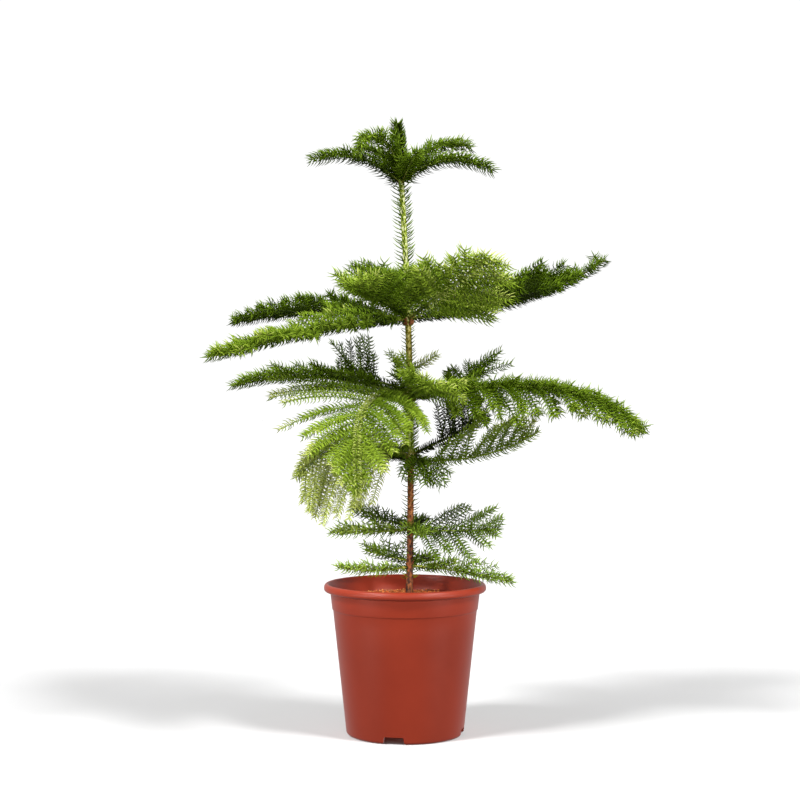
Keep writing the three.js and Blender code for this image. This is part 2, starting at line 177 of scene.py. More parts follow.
# Needles. A row says how they stand on one kind of shoot: how many on a millimetre, their length and spread,
# where on the shoot they start and, as tip_share, how much smaller they get at its tip.
NEEDLE = 12.5
NEEDLE_HALF_WIDE = 0.76
NEEDLE_WAIST = 0.95
NEEDLE_BEND = 0.55
NEEDLE_SUNK = 0.9
NEEDLE_SEED = 5000
FEWEST_NEEDLES = 4
SPIRAL_DEG = 144
SPIRAL_LOOSE = 0.5
UNEVEN = (0.8, 1.2)
UNEVEN_ANGLE = (0.82, 1.18)
TIP_REACH = 14
TIP_SIZE = 0.84
TIP_ANGLE = 0.68
# Painted light: how much lighter a needle's tint gets the more it points up, and darker the more it points
# down.
TOP_PAINTED_LIGHT = 0.06
SCALE_ROW = dict(a_mm=7, length=6, spread=66, tip_share=0)
STEM_ROW = dict(spread=72, start=6)
ROOT_ROW = dict(a_mm=1.5, length=10, spread=70, start=3, tip_share=0)
TWIG_ROW = dict(spread=76, start=1.5)
TUFT_ROW = dict(a_mm=1.5, length=12.5, spread=82, start=3, tip_share=0)
STAR_ROW = dict(a_mm=1.2, length=13.5, spread=78, tip_share=0)
SHOOT_DENSE = 1.4
SHOOT_SIZE = 1.25
SHOOT_ROOT = 1.3
STEM_ROOT = 0.62
STEM_GROWN_BY = 3
STEM_TONE_RISE = 0.22
ROOT_STEPS = STEPS // 4 + 1
# Painted shade: root needles take a share of their bough's tone less a drop, and grow lighter along the root.
ROOT_TONE = 0.7
ROOT_TONE_DROP = 0.12
ROOT_TONE_RISE = 0.1
TWIG_LIFTED = 0.15
TWIG_TONE_DROP = 0.06
TWIG_TONE_RISE = 0.2
TUFT_TONE_MIX = 0.2
LEADER_BANDS = [
    dict(low=198, high=352, tone=0.3, bend=0.8, row=dict(a_mm=0.8, length=11.5, spread=70, wide=0.9)),
    dict(low=362, high=434, tone=0.56, bend=0.7, row=dict(a_mm=3.0, length=11, spread=62, wide=1.0)),
    dict(low=446, high=528, tone=0.5, bend=0.8, row=dict(a_mm=1.1, length=9, spread=64, wide=0.8)),
    dict(low=542, high=708, tone=0.48, bend=0.82, row=dict(a_mm=1.0, length=15.5, spread=62, wide=1.05)),
    dict(low=714, high=TOP_Z, tone=0.3, bend=0.6, row=dict(a_mm=4.2, length=13, spread=66, wide=1.1)),
]
LEADER_POINTS = 40
LEADER_TIP_SHARE = 0.55
LEADER_TONE_WAVE = 0.1
LEADER_TONE_TURNS = 40
LEADER_SEED = 77

# Whorls from the top down. Before gap and tone, a row says what the part's source says. The other keys are
# for this script: gap, from twig to twig; tone, how light the green is, and cap, its limit; stem, ends and
# mix, how the tone changes on the stem, along the bough and from twig to twig; needle, the needles' size;
# dense and rib, how many stand on a millimetre of twig and of stem; ringed, how round they stand; tufts, the
# pairs of short side shoots; star, what the ring of needles at a twig's tip adds to the tone; and shoots,
# whether the stem has the needles of a young shoot. A whorl's common keys hold for all its boughs.
# The tones are partly painted light and shade: boughs at the back and deep inside get a darker green than
# their needles' own, boughs in front a lighter one, and a stem key above zero lightens a rib in shade.
PLAIN = dict(
    curl=1, sweep=0, roll=0, open=66, lift=34, sag=0.25, first=0.16, back=1, peak=0.3, fade=0.9, up=0,
    gap=11.5, tone=0.4, cap=1, stem=-0.14, ends=0.12, mix=0.2, needle=1, dense=1, rib=1.5, ringed=1,
    tufts=0, star=0, shoots=False,
)
WHORLS = [
    dict(z=712, thick=0.85, common=dict(shoots=True), boughs=[
        dict(heading=188, length=130, rise=49, tip=-20, twig=22, lift=15, up=-1, tone=0.38),
        dict(heading=228, length=121, rise=72, tip=-85, curl=1.7, twig=22, lift=10, up=1, tone=0.52),
        dict(heading=296, length=62, rise=50, tip=25, twig=18, lift=15, up=-1, tone=0.48),
        dict(heading=34, length=132, rise=60, tip=-10, twig=26, lift=15, up=1, tone=0.44),
        dict(heading=352, length=129, rise=45, tip=-32, twig=24, lift=15, tone=0.38),
        dict(heading=140, length=92, rise=62, tip=12, twig=20, lift=15, tone=0.32),
    ]),
    dict(z=536, thick=1, boughs=[
        dict(heading=211, length=288, rise=6, tip=-14.2, curl=0.22, twig=54, roll=-3, open=80, lift=22,
             sag=0.4, first=0.1, up=-0.5, tone=0.5, cap=0.82, tufts=8, star=0.26),
        dict(heading=158, length=258, rise=9, tip=-9, twig=48, lift=26, tone=0.28, tufts=5, star=0.16),
        dict(heading=97, length=190, rise=21, tip=22, twig=78, lift=18, up=1, gap=7.5, tone=0.36),
        dict(heading=24, length=312, rise=6.5, tip=33, curl=1.7, twig=80, lift=26, peak=0.34, fade=2.6,
             gap=8, tone=0.24, needle=1.2, tufts=6, star=0.2),
        dict(heading=300, length=204, rise=18, tip=19, twig=78, roll=-28, lift=9, first=0.1, back=0.74,
             peak=0.4, fade=0.85, gap=9, tone=0.74, cap=0.82, stem=0.24, ends=0.35, mix=0.45,
             needle=1.3, dense=0.95, rib=0.55, ringed=0.45),
        dict(heading=246, length=166, rise=13, tip=5, twig=70, lift=34, back=0.85, up=1, gap=8.5, tone=0.58,
             cap=0.82, ends=0.4, mix=0.5, needle=1.25, dense=0.75, ringed=0.6),
    ]),
    dict(z=438, thick=1, boughs=[
        dict(heading=224, length=240, rise=2, tip=-82, curl=1.3, sweep=60, twig=108, roll=-14, lift=12,
             sag=0.42, first=0.12, back=1.15, peak=0.5, fade=1.3, gap=8.5, tone=0.66, stem=0.06,
             needle=0.9, ringed=0.35),
        dict(heading=168, length=245, rise=20, tip=-13, twig=44, lift=28, up=-1, tone=0.42),
        dict(heading=150, length=120, rise=18, tip=10, twig=54, lift=66, first=0.45, up=1, gap=12, tone=0.3,
             needle=0.85, ringed=0.5),
        dict(heading=44, length=146, rise=2, tip=26, twig=54, lift=30, first=0.5, back=1.2, up=-1, tone=0.42),
        dict(heading=350, length=314, rise=4, tip=-53, curl=3, twig=68, roll=14, open=74, lift=8, sag=1.05,
             first=0.12, peak=0.42, fade=0.65, up=1, gap=10, tone=0.48, cap=0.82, tufts=9, star=0.26),
        dict(heading=280, length=128, rise=10, tip=2, twig=62, roll=-22, lift=22, sag=0.35, up=-1, tone=0.7,
             cap=0.82),
    ]),
    dict(z=356, thick=0.9, boughs=[
        dict(heading=202, length=166, rise=13, tip=-60, curl=2.2, twig=98, roll=-72, lift=12, sag=1.3,
             back=0.42, fade=0.7, up=1, gap=7, tone=1.0, stem=-0.6, needle=0.8, ringed=0.3),
        dict(heading=125, length=130, rise=3, tip=-8, twig=50, lift=24, tone=0.2),
        dict(heading=30, length=130, rise=20, tip=24, twig=50, lift=62, first=0.36, back=1.3, up=1, gap=11,
             tone=0.08, needle=0.85, ringed=0.5),
        dict(heading=8, length=176, rise=-3, tip=34, curl=1.4, twig=74, lift=48, up=-1, gap=16, tone=0.7,
             needle=0.85, ringed=0.5),
        dict(heading=290, length=74, rise=4, tip=-50, twig=42, lift=12, sag=0.8, tone=0.32),
    ]),
    dict(z=266, thick=0.85, boughs=[
        dict(heading=196, length=106, rise=-3, tip=2, twig=32, lift=24, up=-1, tone=0.58, dense=0.65, rib=1),
        dict(heading=148, length=94, rise=2, tip=26, twig=28, lift=16, up=1, tone=0.3, dense=0.7, rib=1),
        dict(heading=78, length=64, rise=-4, tip=4, twig=24, up=1, tone=0.25, dense=0.7, rib=1),
        dict(heading=342, length=118, rise=-2, tip=6, twig=60, roll=45, lift=12, first=0.1, peak=0.38, up=-1,
             gap=11, tone=0.36, needle=0.85, ringed=0.45),
        dict(heading=285, length=60, rise=0, tip=-10, twig=26, lift=20, tone=0.45, dense=0.65, rib=0.9),
    ]),
    dict(z=219, thick=0.85, common=dict(dense=0.65, rib=0.9), boughs=[
        dict(heading=190, length=96, rise=-14, tip=15, twig=26, lift=22, up=-1, tone=0.54),
        dict(heading=138, length=80, rise=4, tip=8, twig=28, lift=44, up=1, tone=0.36),
        dict(heading=60, length=64, rise=-6, tip=0, twig=22, up=1, tone=0.4),
        dict(heading=345, length=136, rise=-1, tip=-14, twig=36, lift=20, up=-1, tone=0.5),
    ]),
]
LETTERS = "abcdef"
LIMBED_WHORLS = (2, 3, 4)

# Small shoots without twigs, which only this script has
SPURS = [
    dict(tier=3, z=470, heading=340, length=42, rise=20, tip=34, tone=0.8, stem=0, thick=0.4, seed=3901),
    dict(tier=3, z=440, heading=186, length=48, rise=40, tip=100, tone=0.3, stem=0, thick=0.4, seed=3902),
]

# Camera and lamps, in metres, watts and degrees
CAMERA_AT = (-0.0065, -2.0, 0.4306)
CAMERA_LENS_MM = 69.47
SENSOR_MM = 36
SUNS = [
    dict(name="key_left", turn=216, rise=48, strength=3.4, soft=14),
    dict(name="key_right", turn=324, rise=48, strength=3.2, soft=14),
    dict(name="front_fill", turn=270, rise=8, strength=0.6, soft=40),
]
SOFTBOXES = [
    dict(name="on_near_fronds", at=(0.5, -0.9, 0.5), aim=(0.1, -0.1, 0.6), size=(0.12, 0.12), watts=0.04,
         grid=16),
]
for side, hand in (("left", -1), ("right", 1)):
    SOFTBOXES += [
        dict(name=f"low_{side}", at=(1.1 * hand, -0.7, 0.1), aim=(0, 0, 0.1), size=(0.8, 0.2), watts=0.45,
             grid=36),
        dict(name=f"into_the_pot_{side}", at=(0.42 * hand, -0.62, 0.38), aim=(-0.03 * hand, 0.09, 0.186),
             size=(0.16, 0.05), watts=0.06, grid=14),
    ]
WHITE = (1, 1, 1, 1)
ROOM_GLOW = 0.28
ROOM_MIRRORED = 0.8
ROOM_BACKDROP = 1.05
FLOOR_WIDE = 60


# Growth rule

WORD = 0xFFFFFFFF


def seeded(seed):
    """A draw of even numbers from 0 to 1 that is the same for the same seed."""
    state = seed & WORD

    def draw():
        nonlocal state
        state = (state + 0x6D2B79F5) & WORD
        t = state
        t = ((t ^ (t >> 15)) * (t | 1)) & WORD
        t ^= (t + (((t ^ (t >> 7)) * (t | 61)) & WORD)) & WORD
        return ((t ^ (t >> 14)) & WORD) / 4294967296

    return draw


SPECKLE_STEP = 12.9898
SPECKLE_SHIFT = 78.233
SPECKLE_FOLD = 43758.5453


def speckled(steps):
    """Uneven numbers from 0 to 1, one for each of an array of steps."""
    rough = np.sin(steps) * SPECKLE_FOLD
    return rough - np.floor(rough)


def between(low, high, share):
    return low + (high - low) * share


def unit(v):
    return v / np.linalg.norm(v, axis=-1, keepdims=True)


def vec(x, y, z):
    return np.array((x, y, z), dtype=float)


UP = vec(0, 0, 1)
BACK = vec(0, 1, 0)


def threaded(places, known, rows):
    """Points or directions at places of a line, from rows that are known at other places of it."""
    return np.stack([np.interp(places, known, rows[:, i]) for i in range(3)], -1)


def trunk_axis(z):
    t = (z - SOIL_Z) / (TOP_Z - SOIL_Z)
    return vec(FOOT_X + LEAN * t + BOW * t * (1 - t), 0, z)


def bark_radius(z):
    """The trunk's girth with its bark and needle bases, which hardly tapers below the tip."""
    flare = FLARE * math.exp(-(z - SOIL_Z) / FLARE_HIGH)
    point = min(1, between(TRUNK_TIP_SHARE, 1, (TOP_Z - z) / TRUNK_TIP))
    return (np.interp(z, BARK_GIRTH_AT, BARK_GIRTH_R) + flare) * point


def bough_stem(b):
    """The line of a bough from the trunk's middle to its tip."""
    points = [trunk_axis(b["z"])]
    for i in range(STEPS):
        u = (i + 0.5) / STEPS
        heading = math.radians(b["heading"] + b["sweep"] * u)
        pitch = math.radians(b["rise"] + (b["tip"] - b["rise"]) * u ** b["curl"])
        flat = math.cos(pitch)
        way = vec(math.cos(heading) * flat, math.sin(heading) * flat, math.sin(pitch))
        points.append(points[-1] + way * b["length"] / STEPS)
    return np.array(points)


def along(points, share):
    """Point, direction, left and upward at a share of a line of points, carried straight on past its end."""
    last = len(points) - 1
    k = min(last - 1, max(0, int(math.floor(share * last))))
    step = points[k + 1] - points[k]
    way = unit(step)
    left = unit(np.cross(UP, way))
    return points[k] + step * (share * last - k), way, left, np.cross(way, left)


def twig_profile(b, v):
    return math.sin(math.pi * (b["peak"] + (PROFILE_END - b["peak"]) * v)) ** b["fade"]


def bough_twigs(b, stem):
    """The paired twigs of a bough: points along each, the frond's upper side and the place on the stem."""
    draw = seeded(b["seed"])
    pairs = max(2, round(b["length"] * (LAST - b["first"]) / b["gap"]))
    roll = math.radians(b["roll"])
    twigs = []
    for i in range(pairs):
        for side in (1, -1):
            v = (i + 0.5 + PLACE_LOOSE * (draw() - 0.5) + PAIR_SHIFT * side) / pairs
            u = b["first"] + (LAST - b["first"]) * v
            point, way, left, up = along(stem, u)
            out = left * math.cos(roll) + up * math.sin(roll)
            top = np.cross(way, out)
            angle = math.radians(b["open"] - OPEN_CLOSING * v + OPEN_LOOSE * (draw() - 0.5))
            lift = math.radians(b["lift"] + LIFT_LOOSE * (draw() - 0.5))
            hand = 1 if side > 0 else b["back"]
            length = b["twig"] * twig_profile(b, v) * between(*UNEVEN, draw()) * hand
            if length < SHORTEST or u > TWIGS_TO:
                continue
            go = way * math.cos(angle) + out * side * math.sin(angle)
            go = go * math.cos(lift) + top * math.sin(lift)
            points = [point]
            for _ in range(TWIG_STEPS):
                go = unit(go + way * TWIG_ONWARD / TWIG_STEPS - vec(0, 0, b["sag"] / TWIG_STEPS))
                points.append(points[-1] + go * length / TWIG_STEPS)
            line = clear_of_trunk(np.array(points))
            if len(line) > 2:
                twigs.append(dict(points=line, top=top, place=u, draw=draw(), tuft=False))
    return twigs


def bough_tufts(b, stem):
    """Short side shoots past a bough's first quarter, as lines of points like its twigs."""
    draw = seeded(b["seed"] + TUFT_SEED)
    tufts = []
    for i in range(b["tufts"]):
        for side in (1, -1):
            step = i + 0.5 + TUFT_PAIR_SHIFT * side + TUFT_LOOSE * (draw() - 0.5)
            u = TUFTS_FROM + TUFTS_REACH * step / b["tufts"]
            point, way, left, up = along(stem, u)
            go = way * TUFT_ONWARD + left * side * TUFT_OUTWARD + up * between(*TUFT_UPWARD, draw())
            reach = np.linspace(0, TUFT_LONG * between(*UNEVEN, draw()), TUFT_POINTS)[:, None]
            tufts.append(dict(points=point + unit(go) * reach, top=up, place=u, draw=draw(), tuft=True))
    return tufts


def clear_of_trunk(points):
    """The first stretch of a twig that keeps clear of the trunk."""
    for i, p in enumerate(points):
        if i and p[2] < TOP_Z and math.hypot(*(p - trunk_axis(p[2]))[:2]) < TRUNK_ROOM:
            return points[:i]
    return points


def all_boughs():
    """Every bough as its full row, its stem, and its twigs and tufts. A spur has a stem alone and no name."""
    made = []
    for tier, whorl in enumerate(WHORLS, 1):
        for i, row in enumerate(whorl["boughs"]):
            b = {**PLAIN, **whorl.get("common", {}), **row, "tier": tier, "thick": whorl["thick"]}
            b["name"] = f"{tier}{LETTERS[i]}"
            b["seed"] = tier * 101 + i * 7
            b["z"] = whorl["z"] + b["up"] * STAGGER
            stem = bough_stem(b)
            made.append((b, stem, bough_twigs(b, stem) + bough_tufts(b, stem)))
    for row in SPURS:
        b = {**PLAIN, **row, "name": None}
        made.append((b, bough_stem(b), []))
    return made


# Meshes from arrays

def placed(name, data):
    """A new object of some data, linked to the scene."""
    made = bpy.data.objects.new(name, data)
    bpy.context.scene.collection.objects.link(made)
    return made


def mesh_piece(name, points, faces, smooth=True):
    """A new object from points in millimetres and arrays of faces, one array for each number of corners."""
    mesh = bpy.data.meshes.new(name)
    mesh.vertices.add(len(points))
    mesh.vertices.foreach_set("co", (np.asarray(points) * MM).astype(np.float32).ravel())
    corners = np.concatenate([f.ravel() for f in faces])
    counts = np.concatenate([np.full(len(f), f.shape[1]) for f in faces])
    starts = np.concatenate([[0], np.cumsum(counts)[:-1]])
    mesh.loops.add(len(corners))
    mesh.loops.foreach_set("vertex_index", corners.astype(np.int32))
    mesh.polygons.add(len(counts))
    mesh.polygons.foreach_set("loop_start", starts.astype(np.int32))
    mesh.polygons.foreach_set("use_smooth", np.full(len(counts), smooth))
    mesh.update(calc_edges=True)
    return placed(name, mesh)


def tube(points, radii, sides, top, relief=None):
    """Points and faces of a closed tube along a line, with a pointed end. relief swells its rings' points."""
    ways = unit(np.gradient(points, axis=0))
    right = unit(np.cross(ways, top))
    up = np.cross(right, ways)
    turn = 2 * np.pi * np.arange(sides) / sides
    spoke = right[:, None] * np.cos(turn)[:, None] - up[:, None] * np.sin(turn)[:, None]
    r = np.asarray(radii)[:, None] * (np.ones((1, sides)) if relief is None else relief)
    skin = (points[:, None] + spoke * r[:, :, None]).reshape(-1, 3)
    rings = len(points)
    tip = points[-1] + ways[-1] * radii[-1]
    places = np.vstack([skin, points[0], tip])
    i, j = np.meshgrid(np.arange(rings - 1), np.arange(sides), indexing="ij")
    a, b = i * sides + j, i * sides + (j + 1) % sides
    quads = np.stack([a, a + sides, b + sides, b], -1).reshape(-1, 4)
    j = np.arange(sides)
    k = (j + 1) % sides
    foot, end = rings * sides, rings * sides + 1
    low = np.stack([np.full(sides, foot), j, k], -1)
    last = (rings - 1) * sides
    high = np.stack([np.full(sides, end), last + k, last + j], -1)
    return places, quads, np.vstack([low, high])


def joined(bodies):
    """Points and faces of several tubes as one."""
    places, quads, tris, count = [], [], [], 0
    for p, q, t in bodies:
        places.append(p)
        quads.append(q + count)
        tris.append(t + count)
        count += len(p)
    return np.vstack(places), [np.vstack(quads), np.vstack(tris)]


# Needles

def needle_rows(points, top, draw, a_mm, length, spread, start=0, lifted=0, ringed=1, tip_share=1, wide=1):
    """Needles in a spiral round a shoot past its start, shorter and closer at its tip by tip_share.

    lifted turns them towards the shoot's top, and ringed under 1 flattens the ring that they stand in.
    """
    steps = np.linalg.norm(np.diff(points, axis=0), axis=1)
    reach = np.concatenate([[0], np.cumsum(steps)])
    total = reach[-1]
    count = max(FEWEST_NEEDLES, int((total - start) * a_mm))
    k = np.arange(count)
    s = start + (total - start) * (k + 0.5) / count
    way = unit(threaded(s, reach, unit(np.gradient(points, axis=0))))
    right = unit(np.cross(way, top))
    up = np.cross(right, way)
    rough = speckled(k * SPECKLE_STEP + SPECKLE_SHIFT * draw())
    turn = np.radians(SPIRAL_DEG) * k + 2 * np.pi * draw() + SPIRAL_LOOSE * (rough - 0.5)
    high = np.sin(turn) * (1 - lifted) * ringed + lifted
    out = unit(right * np.cos(turn)[:, None] + up * high[:, None])
    full = 1 - tip_share * (1 - np.clip((total - s) / TIP_REACH, 0, 1))
    size = length * between(TIP_SIZE, 1, full) * between(*UNEVEN, rough)
    angle = spread * between(TIP_ANGLE, 1, full) * between(*UNEVEN_ANGLE, 1 - rough)
    # light is painted light: a rise in tone for needles that point up and a fall for those that point down.
    return dict(
        root=threaded(s, reach, points), way=way, out=out, length=size, angle=np.radians(angle),
        half=NEEDLE_HALF_WIDE * wide * between(0.75, 1, size / NEEDLE), bend=np.full(count, NEEDLE_BEND),
        share=s / total, light=TOP_PAINTED_LIGHT * out[:, 2],
    )


def needle_mesh(rows):
    """Points and faces of slim three-sided needles, bent inwards half-way and closed at the root."""
    root, way, out = rows["root"], rows["way"], rows["out"]
    length, angle = rows["length"][:, None], rows["angle"][:, None]
    start = way * np.cos(angle) + out * np.sin(angle)
    bent = angle * rows["bend"][:, None]
    end = way * np.cos(bent) + out * np.sin(bent)
    middle = root + start * length * 0.5
    point = middle + end * length * 0.5
    across = unit(np.cross(way, out))
    wide = rows["half"][:, None]
    turn = np.radians((90, 210, 330))
    cos, sin = np.cos(turn)[None, :, None], np.sin(turn)[None, :, None]
    foot = root[:, None] + (across[:, None] * cos + np.cross(start, across)[:, None] * sin) * wide[:, None]
    half_way = unit(start + end)
    ring = across[:, None] * cos + np.cross(half_way, across)[:, None] * sin
    waist = middle[:, None] + ring * wide[:, None] * NEEDLE_WAIST
    places = np.concatenate([foot, waist, point[:, None]], axis=1)
    first = np.arange(len(root))[:, None, None] * places.shape[1]
    quads = np.array([[0, 1, 4, 3], [1, 2, 5, 4], [2, 0, 3, 5]])
    tris = np.array([[3, 4, 6], [4, 5, 6], [5, 3, 6], [2, 1, 0]])
    return places.reshape(-1, 3), [(first + quads).reshape(-1, 4), (first + tris).reshape(-1, 3)]


def set_on_bark(row):
    """Moves needles from the trunk's axis out to its bark."""
    radii = np.array([bark_radius(z) for z in row["root"][:, 2]])
    row["root"] = row["root"] + row["out"] * (radii * NEEDLE_SUNK)[:, None]


def stacked(rows):
    return {key: np.concatenate([r[key] for r in rows]) for key in rows[0]}


# Shader groups and materials

def put(tree, kind, **values):
    """A new node with values on its sockets or, where it has no socket of that name, on itself."""
    node = tree.nodes.new(kind)
    for key, value in values.items():
        if key in node.inputs:
            node.inputs[key].default_value = value
        else:
            setattr(node, key, value)
    return node


SPECK_FINER = 3.7


def mottle_group():
    """A cloudy mask at one scale, and a height for a bump that adds finer specks to it."""
    group = bpy.data.node_groups.new("grown_mottle", "ShaderNodeTree")
    group.interface.new_socket("Scale", in_out="INPUT", socket_type="NodeSocketFloat")
    group.interface.new_socket("Stretch", in_out="INPUT", socket_type="NodeSocketVector")
    for name in ("Cloud", "Height"):
        group.interface.new_socket(name, in_out="OUTPUT", socket_type="NodeSocketFloat")
    source = put(group, "NodeGroupInput")
    result = put(group, "NodeGroupOutput")
    place = put(group, "ShaderNodeTexCoord")
    stretched = put(group, "ShaderNodeVectorMath", operation="MULTIPLY")
    cloud = put(group, "ShaderNodeTexNoise", Detail=4.0, Roughness=0.6)
    fine = put(group, "ShaderNodeMath", operation="MULTIPLY")
    fine.inputs[1].default_value = SPECK_FINER
    speck = put(group, "ShaderNodeTexVoronoi", feature="F1")
    blend = put(group, "ShaderNodeMath", operation="ADD")
    link = group.links.new
    link(place.outputs["Object"], stretched.inputs[0])
    link(source.outputs["Stretch"], stretched.inputs[1])
    link(stretched.outputs[0], cloud.inputs["Vector"])
    link(source.outputs["Scale"], cloud.inputs["Scale"])
    link(source.outputs["Scale"], fine.inputs[0])
    link(stretched.outputs[0], speck.inputs["Vector"])
    link(fine.outputs[0], speck.inputs["Scale"])
    link(cloud.outputs["Fac"], blend.inputs[0])
    link(speck.outputs["Distance"], blend.inputs[1])
    link(cloud.outputs["Fac"], result.inputs["Cloud"])
    link(blend.outputs[0], result.inputs["Height"])
    return group


MOTTLE = mottle_group()


def mottled(tree, scale, stretch=(1, 1, 1)):
    """The outputs of a mottle group placed in a material."""
    return put(tree, "ShaderNodeGroup", node_tree=MOTTLE, Scale=scale, Stretch=stretch).outputs


def linear(red, green, blue):
    """A colour of 0 to 255 as the shader reads it."""
    def one(c):
        c /= 255
        return c / 12.92 if c <= 0.04045 else ((c + 0.055) / 1.055) ** 2.4

    return (one(red), one(green), one(blue), 1.0)


def new_material(name, roughness, specular):
    made = bpy.data.materials.new(name)
    made.use_nodes = True
    shader = made.node_tree.nodes["Principled BSDF"]
    shader.inputs["Roughness"].default_value = roughness
    shader.inputs["Specular IOR Level"].default_value = specular
    return made, made.node_tree, shader


def ramp(tree, mask, stops):
    """The colour that a mask picks from a few stops."""
    node = put(tree, "ShaderNodeValToRGB")
    band = node.color_ramp
    while len(band.elements) < len(stops):
        band.elements.new(0.5)
    for element, (place, colour) in zip(band.elements, stops):
        element.position = place
        element.color = colour
    tree.links.new(mask, node.inputs["Fac"])
    return node.outputs["Color"]


def bumped(tree, shader, height, strength, distance):
    bump = put(tree, "ShaderNodeBump", Strength=strength, Distance=distance)
    tree.links.new(height, bump.inputs["Height"])
    tree.links.new(bump.outputs["Normal"], shader.inputs["Normal"])


def pot_plastic():
    """Satin moulded plastic: a faintly clouded terracotta red with a fine skin."""
    made, tree, shader = new_material("terracotta_red_plastic", roughness=0.4, specular=0.2)
    cloud = mottled(tree, scale=14)["Cloud"]
    skin = mottled(tree, scale=900)["Cloud"]
    colour = ramp(tree, cloud, [(0.3, linear(120, 37, 18)), (0.7, linear(127, 41, 21))])
    gloss = put(tree, "ShaderNodeMapRange", **{"To Min": 0.32, "To Max": 0.44})
    tree.links.new(colour, shader.inputs["Base Color"])
    tree.links.new(cloud, gloss.inputs["Value"])
    tree.links.new(gloss.outputs["Result"], shader.inputs["Roughness"])
    bumped(tree, shader, skin, strength=0.08, distance=0.0004)
    return made


def clouded_material(name, roughness, specular, scale, stops, bump=None):
    """A skin with one clouded colour and, where asked for, a bump of some strength and distance."""
    made, tree, shader = new_material(name, roughness, specular)
    grain = mottled(tree, scale)
    tree.links.new(ramp(tree, grain["Cloud"], stops), shader.inputs["Base Color"])
    if bump:
        bumped(tree, shader, grain["Height"], *bump)
    return made


def potting_mix():
    """Loose rust-brown peat and coir, lighter and more orange than its own colour as painted light, so the
    slice in the rim's shade looks lit.
    """
    stops = [(0.25, linear(124, 52, 18)), (0.5, linear(184, 88, 36)), (0.75, linear(212, 122, 62))]
    return clouded_material("peat_and_coir", 0.95, 0.2, scale=140, stops=stops, bump=(0.6, 0.003))


CRUMB_SHADE = 0.6


def crumb_material(name, colour):
    """One dry brown, clouded with a darker shade of itself."""
    dark = tuple(c * CRUMB_SHADE for c in colour[:3]) + (1,)
    return clouded_material(name, 0.9, 0.2, scale=420, stops=[(0.3, dark), (0.7, colour)])


def height_share(tree, low, high):
    """0 at one height of the plant and 1 at another."""
    place = put(tree, "ShaderNodeTexCoord")
    parts = put(tree, "ShaderNodeSeparateXYZ")
    share = put(tree, "ShaderNodeMapRange", **{"From Min": low * MM, "From Max": high * MM})
    tree.links.new(place.outputs["Object"], parts.inputs[0])
    tree.links.new(parts.outputs["Z"], share.inputs["Value"])
    return share.outputs["Result"]


# Numbers of a mix node's colour sockets
MIX_FIRST = 6
MIX_SECOND = 7
MIX_RESULT = 2


def mixed_colour(tree, factor, first, second):
    mix = put(tree, "ShaderNodeMix", data_type="RGBA")
    tree.links.new(factor, mix.inputs["Factor"])
    tree.links.new(first, mix.inputs[MIX_FIRST])
    tree.links.new(second, mix.inputs[MIX_SECOND])
    return mix.outputs[MIX_RESULT]


# Stops of each bark on the trunk, and the heights over which one gives way to the next
TRUNK_BARKS = dict(
    # The foot's browns are darkened as painted shade under the low whorls.
    foot=[(0.4, linear(34, 15, 6)), (0.5, linear(74, 38, 16)), (0.6, linear(122, 68, 32))],
    brown=[(0.38, linear(78, 41, 16)), (0.5, linear(156, 90, 46)), (0.62, linear(206, 142, 86))],
    olive=[(0.4, linear(92, 78, 8)), (0.5, linear(178, 160, 52)), (0.58, linear(238, 222, 140))],
    green=[(0.4, linear(104, 124, 12)), (0.5, linear(164, 180, 48)), (0.58, linear(240, 242, 186))],
    tip=[(0.4, linear(40, 56, 6)), (0.6, linear(84, 106, 20))],
)
BARK_CHANGES = [
    ("brown", 262, 288), ("green", 350, 368), ("olive", 436, 450), ("green", 520, 560), ("tip", 712, 728)
]


def trunk_bark():
    """Flecked brown bark low down, darkened at the foot as painted shade under the low whorls; olive and
    green with pale flecks higher up, and a dark green tip.
    """
    made, tree, shader = new_material("young_bark", roughness=0.8, specular=0.3)
    fleck = mottled(tree, scale=300, stretch=(1, 1, 0.6))
    barks = {name: ramp(tree, fleck["Cloud"], stops) for name, stops in TRUNK_BARKS.items()}
    colour = barks["foot"]
    for name, start, end in BARK_CHANGES:
        colour = mixed_colour(tree, height_share(tree, start, end), colour, barks[name])
    tree.links.new(colour, shader.inputs["Base Color"])
    bumped(tree, shader, fleck["Height"], strength=0.5, distance=0.0008)
    return made


def bough_bark():
    """Brown bark at a bough's root that turns green along it, by the attribute age."""
    made, tree, shader = new_material("thin_bough_bark", roughness=0.7, specular=0.3)
    fleck = mottled(tree, scale=260)
    age = put(tree, "ShaderNodeAttribute", attribute_name="age")
    old = ramp(tree, fleck["Cloud"], [(0.35, linear(88, 44, 20)), (0.65, linear(156, 88, 44))])
    young = ramp(tree, fleck["Cloud"], [(0.35, linear(112, 134, 36)), (0.65, linear(170, 186, 78))])
    tree.links.new(mixed_colour(tree, age.outputs["Fac"], young, old), shader.inputs["Base Color"])
    bumped(tree, shader, fleck["Height"], strength=0.4, distance=0.0006)
    return made


def twig_skin():
    stops = [(0.35, linear(84, 108, 30)), (0.65, linear(132, 152, 56))]
    return clouded_material("green_twig_skin", 0.55, 0.4, scale=320, stops=stops)


# Greens of the needles from dark to light. Those of the low whorls are a little cooler.
NEEDLE_GREENS = [
    ("shade", (34, 46, 4)),
    ("deep", (58, 78, 6)),
    ("leaf", (86, 112, 8)),
    ("fresh", (114, 142, 30)),
    ("bright", (146, 172, 50)),
    ("pale", (196, 208, 106)),
]
TINTS = len(NEEDLE_GREENS)
LOW_WHORLS = (5, 6)
COOLER = (0, -2, 14)


def needle_green(name, colour):
    made, _, shader = new_material(f"{name}_green_needle", roughness=0.55, specular=0.08)
    shader.inputs["Base Color"].default_value = linear(*colour)
    return made


